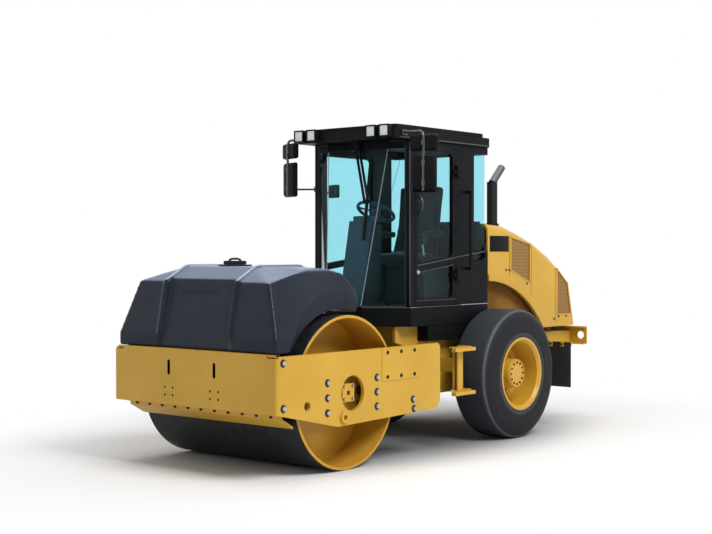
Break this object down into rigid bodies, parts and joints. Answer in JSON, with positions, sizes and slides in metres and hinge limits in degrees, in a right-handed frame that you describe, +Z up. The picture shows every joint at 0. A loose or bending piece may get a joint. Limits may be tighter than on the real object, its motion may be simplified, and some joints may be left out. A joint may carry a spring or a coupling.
{
  "type": "road roller",
  "caption": "Articulated road roller with a smooth vibrating drum in a plate yoke, a moulded water tank over it, a glazed cab, a lifting engine hood and plain rear tyres.",
  "frame": {"origin": "middle of the bounding box on the ground", "axes": "+X forward to the drum, +Y to the machine's left, +Z up"},
  "size_m": [5, 1.91, 2.815],
  "materials": {
    "yellow_paint": "gloss paint",
    "black_paint": "satin paint",
    "tank_plastic": "moulded satin",
    "drum_paint": "worn paint",
    "tyre_rubber": "matt",
    "flap_rubber": "matt",
    "bright_steel": "polished",
    "glass": "tinted",
    "seat_fabric": "woven",
    "trim_plastic": "grained",
    "engine_iron": "cast",
    "vent_mesh": "painted mesh"
  },
  "bodies": {
    "rear_frame": {"rear_frame": "yellow_paint", "rear_axle": "yellow_paint", "rear_bumper": "yellow_paint", "engine_block": "engine_iron", "inner_panels": "yellow_paint", "cab_base": "black_paint", "cab_left_side": "black_paint", "cab_right_side": "black_paint", "cab_rear": "black_paint", "cab_roof": "black_paint", "cab_glass": "glass", "seat_base": "black_paint", "seat": "seat_fabric", "console": "trim_plastic", "steering_wheel": "trim_plastic", "work_lamps": "black_paint", "mirrors": "black_paint", "wiper": "black_paint", "steps": "yellow_paint", "mud_flaps": "flap_rubber"},
    "drum_frame": {"yoke_front_plate": "yellow_paint", "yoke_left_plate": "yellow_paint", "yoke_right_plate": "yellow_paint", "yoke_crossmember": "yellow_paint", "hitch_pin": "bright_steel", "drum_mounts": "flap_rubber", "drum_carriers": "yellow_paint", "water_tank": "tank_plastic", "tank_cap": "tank_plastic", "scrapers": "yellow_paint"},
    "drum": {"drum_shell": "drum_paint", "drum_core": "yellow_paint"},
    "wheel_left": {"tyre_left": "tyre_rubber", "rim_left": "yellow_paint"},
    "wheel_right": {"tyre_right": "tyre_rubber", "rim_right": "yellow_paint"},
    "hood": {"hood": "yellow_paint", "hood_vents": "vent_mesh", "exhaust": "black_paint"},
    "door_left": {"door_left": "black_paint", "door_panes": "glass"},
    "barrel_left": {"barrel_left": "black_paint"},
    "rod_left": {"rod_left": "bright_steel"},
    "barrel_right": {"barrel_right": "black_paint"},
    "rod_right": {"rod_right": "bright_steel"}
  },
  "joints": [
    {"name": "steering", "type": "hinge", "parent": "rear_frame", "child": "drum_frame", "pos_m": [0.683, 0, 0.66], "axis": [0, 0, 1], "range_deg": [-35, 35]},
    {"name": "drum_spin", "type": "hinge", "parent": "drum_frame", "child": "drum", "pos_m": [1.633, 0, 0.61], "axis": [0, 1, 0], "continuous": true},
    {"name": "wheel_left_spin", "type": "hinge", "parent": "rear_frame", "child": "wheel_left", "pos_m": [-0.742, 0.755, 0.593], "axis": [0, 1, 0], "continuous": true},
    {"name": "wheel_right_spin", "type": "hinge", "parent": "rear_frame", "child": "wheel_right", "pos_m": [-0.742, -0.755, 0.593], "axis": [0, 1, 0], "continuous": true},
    {"name": "hood_lift", "type": "hinge", "parent": "rear_frame", "child": "hood", "pos_m": [-2.342, 0, 0.975], "axis": [0, -1, 0], "range_deg": [0, 60]},
    {"name": "door_swing", "type": "hinge", "parent": "rear_frame", "child": "door_left", "pos_m": [-0.253, 0.568, 1.95], "axis": [0, 0, 1], "range_deg": [0, 95]},
    {"name": "barrel_left_swing", "type": "hinge", "parent": "rear_frame", "child": "barrel_left", "pos_m": [0.113, 0.27, 0.66], "axis": [0, 0, 1], "range_deg": [-5, 5]},
    {"name": "rod_left_slide", "type": "slide", "parent": "barrel_left", "child": "rod_left", "axis": [0.9996, -0.029, 0], "range_m": [-0.15, 0.15]},
    {"name": "barrel_right_swing", "type": "hinge", "parent": "rear_frame", "child": "barrel_right", "pos_m": [0.113, -0.27, 0.66], "axis": [0, 0, 1], "range_deg": [-5, 5]},
    {"name": "rod_right_slide", "type": "slide", "parent": "barrel_right", "child": "rod_right", "axis": [0.9996, 0.029, 0], "range_m": [-0.15, 0.15]}
  ],
  "couplings": [
    {"joint": "barrel_left_swing", "follows": "steering", "ratio": 0.139},
    {"joint": "rod_left_slide", "follows": "steering", "m_per_rad": -0.242},
    {"joint": "barrel_right_swing", "follows": "steering", "ratio": 0.139},
    {"joint": "rod_right_slide", "follows": "steering", "m_per_rad": 0.242}
  ]
}
